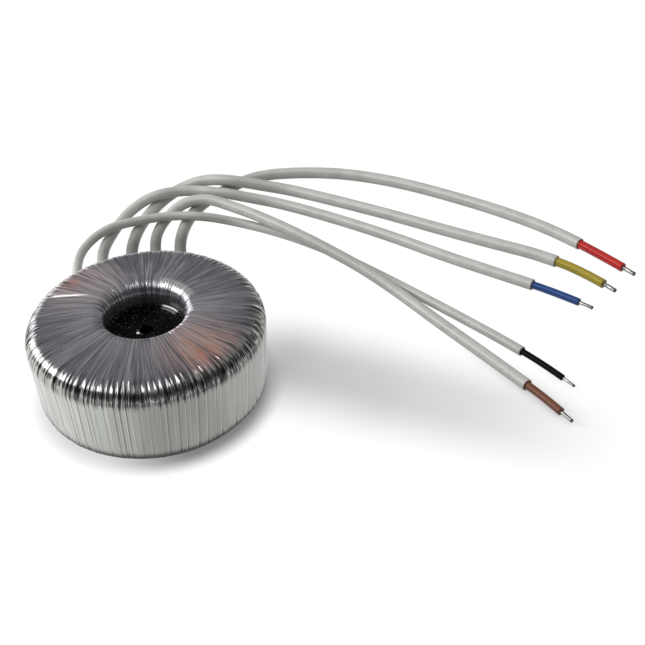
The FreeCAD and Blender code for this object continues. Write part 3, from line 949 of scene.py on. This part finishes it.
class TRANSFORMER_OT_leads(bpy.types.Operator):
    """Five leads: sleeve, insulated wire and tinned strands"""
    bl_idname = "transformer.leads"
    bl_label = "Leads"

    def execute(self, context):
        settings = context.scene.transformer_leads
        sleeve_finish = sleeve_material(settings)
        tin_finish = tin_material()
        for name in LEADS:
            sleeve, path = sleeve_piece(name)
            wire = wire_piece(name)
            conductor = conductor_piece(name)
            finishes = ((sleeve, "lead_sleeve_", "sleeve", sleeve_finish),
                        (wire, "lead_wire_", "wire_" + name, wire_material(name, getattr(settings, name))),
                        (conductor, "lead_conductor_", "tinned_copper", tin_finish))
            for piece, node, slot, finish in finishes:
                piece.data.materials.append(finish)
                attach(piece, "root")
                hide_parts(node + name)
        return {"FINISHED"}


class TRANSFORMER_OT_hidden(bpy.types.Operator):
    """Finishes of the core, the windings and what lies between them"""
    bl_idname = "transformer.hidden"
    bl_label = "Hidden pieces"

    def execute(self, context):
        copper = wound_material("enamelled_copper", (0.28, 0.09, 0.04), (0.6, 0.24, 0.12), 1.0, turns=240)
        tape = wound_material("polyester_tape", (0.6, 0.55, 0.4), (0.78, 0.74, 0.6), 0.0, turns=90)
        strip = wound_material("wound_strip", (0.2, 0.2, 0.21), (0.4, 0.4, 0.42), 1.0, rings=12000,
                               mottling=200, bump=(0.1 * MM, 0.5), least_rough=0.35)
        finishes = {
            "core": strip, "core_cover": tape, "winding_barrier": tape,
            "primary_winding": copper, "secondary_winding": copper, "lead_splices": tin_material()}
        for node, finish in finishes.items():
            materials = frame["nodes"][node].data.materials
            materials.clear()
            materials.append(finish)
        return {"FINISHED"}


def softbox(power):
    """Wide lamp at the left, a little behind the part, facing it; the world gives its reflections."""
    data = bpy.data.lights.new("key", "AREA")
    data.shape = "RECTANGLE"
    data.size, data.size_y = LAMP_SIZE
    data.energy = power
    lamp = bpy.data.objects.new("key", data)
    towards = heading(*LAMP_PLACE)
    lamp.location = towards
    lamp.rotation_euler = towards.to_track_quat("Z", "Y").to_euler()
    lamp.visible_glossy = False
    bpy.context.scene.collection.objects.link(lamp)


def floor_piece():
    """Large level floor.

    The camera sees it white, with the body's soft shadow away from the lamp, partly cast and partly
    painted, and a rim of painted shade where it stands. In reflections it is bright and dims towards
    the body in painted shade, with painted light brighter on the lamp's side. To the light it is pale grey.
    """
    half = 4.0
    corners = [(-half, -half, 0), (half, -half, 0), (half, half, 0), (-half, half, 0)]
    mesh = bpy.data.meshes.new("floor")
    mesh.from_pydata(corners, [], [(0, 1, 2, 3)])
    floor = bpy.data.objects.new("floor", mesh)
    bpy.context.scene.collection.objects.link(floor)
    shader = new_shader("pale_floor")
    x, y, _, away = shader.coordinates()
    # The wedge where the body's cast shadow shows, deepened there by painted shadow
    cast = heading(SHADOW_AZIMUTH, 0)
    right, back = x - SHADOW_PLACE[0], y - SHADOW_PLACE[1]
    ahead = right * cast.x + back * cast.y
    beside = shader.math("ABSOLUTE", back * cast.x - right * cast.y)
    cast_and_painted_shadow = shader.steps(beside, 36 * MM, 4 * MM) * shader.steps(ahead, 150 * MM, 60 * MM)
    cast_and_painted_shadow = cast_and_painted_shadow * shader.steps(ahead, -40 * MM, 0)

    camera = shader.ray("Is Camera Ray")
    mirrored = shader.math("MAXIMUM", shader.ray("Is Glossy Ray"), shader.ray("Is Transmission Ray"))
    # Painted light and shade in reflections: brighter on the lamp's side, darker close to the body
    lit = shader.steps(x / away, -0.95, 0.15, 0.92, 0.48) + shader.steps(x / away, 0.5, 1.0, 0.0, 0.12)
    near = lit * shader.steps(away, 37.5 * MM, 43 * MM, 0.2, 1.0)
    in_mirror = near + (1.0 - near) * shader.steps(away, 160 * MM, 450 * MM)
    # Painted shade round the foot of the body, darker on the right
    painted_contact_shade = 0.85 - 0.5 * shader.steps(x / away, 0.45, -0.5)
    bright = 1.08 - painted_contact_shade * shader.steps(away, 45 * MM, 36 * MM)
    bright = bright + (in_mirror - bright) * mirrored
    matt = shader.out("ShaderNodeBsdfDiffuse", 0, {"Color": (0.4 + 0.5 * camera) * (1.0 - 0.22 * cast_and_painted_shadow)})
    glow = shader.out("ShaderNodeEmission", 0, {"Color": bright, "Strength": 1.0})
    share = shader.math("MAXIMUM", camera * (0.9 - 0.78 * cast_and_painted_shadow), mirrored)
    both = shader.out("ShaderNodeMixShader", 0, {0: share, 1: matt, 2: glow})
    shader.node("ShaderNodeOutputMaterial", {"Surface": both})
    mesh.materials.append(shader.owner)


def studio_world(fill):
    """Soft fill from above for the surfaces, white for the camera, and a studio for reflections.

    The studio is dark before the part and grey behind it, with a long lit strip from the back left
    up over the front left.
    """
    shader = Shader(bpy.data.worlds.new("studio"))
    bpy.context.scene.world = shader.owner
    direction = shader.out("ShaderNodeTexCoord", "Generated")
    _, back, up = shader.parts(direction)
    before = shader.out("ShaderNodeValToRGB", 0, {0: up}, stops=(
        (0.0, 0.36), (0.09, 0.24), (0.2, 0.09), (0.32, 0.01), (0.62, 0.01), (0.78, 0.24), (1.0, 0.27)))
    behind = shader.out("ShaderNodeValToRGB", 0, {0: up}, stops=((0.0, 0.5), (0.25, 0.23), (1.0, 0.19)))
    studio = shader.mixed(shader.steps(back, 0.0, 0.35), before, behind)
    low_end, high_end = heading(*STRIP_LOW_END), heading(*STRIP_HIGH_END)
    off_strip = shader.math("ABSOLUTE", shader.dot(direction, low_end.cross(high_end).normalized()))
    along_strip = shader.dot(direction, (low_end + high_end).normalized())
    strip = shader.steps(off_strip, 0.30, 0.12) * shader.steps(along_strip, 0.60, 0.76)
    studio = shader.mixed(strip, studio, (STRIP_LIGHT, STRIP_LIGHT, STRIP_LIGHT))
    even = shader.steps(up, 0.1, 1.0, 0.1 * fill, 2.9 * fill)
    colour = shader.mixed(shader.ray("Is Glossy Ray"), even, studio)
    colour = shader.mixed(shader.ray("Is Camera Ray"), colour, (1, 1, 1))
    background = shader.out("ShaderNodeBackground", 0, {"Color": colour, "Strength": 1.0})
    shader.node("ShaderNodeOutputWorld", {"Surface": background})


def matched_camera():
    """Camera at the photograph's viewing angle."""
    data = bpy.data.cameras.new("camera")
    data.sensor_width = SENSOR_MM
    data.lens = FOCAL_PIXELS / IMAGE_PIXELS * SENSOR_MM
    camera = bpy.data.objects.new("camera", data)
    turn = Euler((math.pi / 2 - CAMERA_PITCH, 0, 0)).to_matrix() @ Euler((0, 0, CAMERA_ROLL)).to_matrix()
    camera.matrix_world = turn.to_4x4()
    camera.location = CAMERA_PLACE
    bpy.context.scene.collection.objects.link(camera)
    bpy.context.scene.camera = camera


class TRANSFORMER_OT_stage(bpy.types.Operator):
    """Floor, lamp, world and camera"""
    bl_idname = "transformer.stage"
    bl_label = "Stage"

    def execute(self, context):
        settings = context.scene.transformer_stage
        floor_piece()
        studio_world(settings.fill)
        softbox(settings.key_power)
        matched_camera()
        context.scene.view_settings.view_transform = "Standard"
        return {"FINISHED"}


OPERATORS = (TRANSFORMER_OT_film, TRANSFORMER_OT_resin, TRANSFORMER_OT_leads, TRANSFORMER_OT_hidden,
             TRANSFORMER_OT_stage)
SETTINGS = (("transformer_film", FilmSettings), ("transformer_resin", ResinSettings),
            ("transformer_leads", LeadSettings), ("transformer_stage", StageSettings))


class TRANSFORMER_PT_panel(bpy.types.Panel):
    """The pieces of the transformer and their settings"""
    bl_idname = "TRANSFORMER_PT_panel"
    bl_label = "Toroidal transformer"
    bl_space_type = "VIEW_3D"
    bl_region_type = "UI"
    bl_category = "Transformer"

    def draw(self, context):
        for operator in OPERATORS:
            self.layout.operator(operator.bl_idname)
        for name, group in SETTINGS:
            box = self.layout.box()
            for setting in group.__annotations__:
                box.prop(getattr(context.scene, name), setting)


def register():
    """Add the settings, the operators and the panel."""
    for name, group in SETTINGS:
        bpy.utils.register_class(group)
        setattr(bpy.types.Scene, name, bpy.props.PointerProperty(type=group))
    for made in (*OPERATORS, TRANSFORMER_PT_panel):
        bpy.utils.register_class(made)


def unregister():
    """Take them away again."""
    for made in (TRANSFORMER_PT_panel, *reversed(OPERATORS)):
        bpy.utils.unregister_class(made)
    for name, group in reversed(SETTINGS):
        delattr(bpy.types.Scene, name)
        bpy.utils.unregister_class(group)


def main():
    """Make every piece and the stage."""
    register()
    for operator in OPERATORS:
        getattr(bpy.ops.transformer, operator.bl_idname.split(".")[1])()
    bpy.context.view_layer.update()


if __name__ == "__main__":
    main()
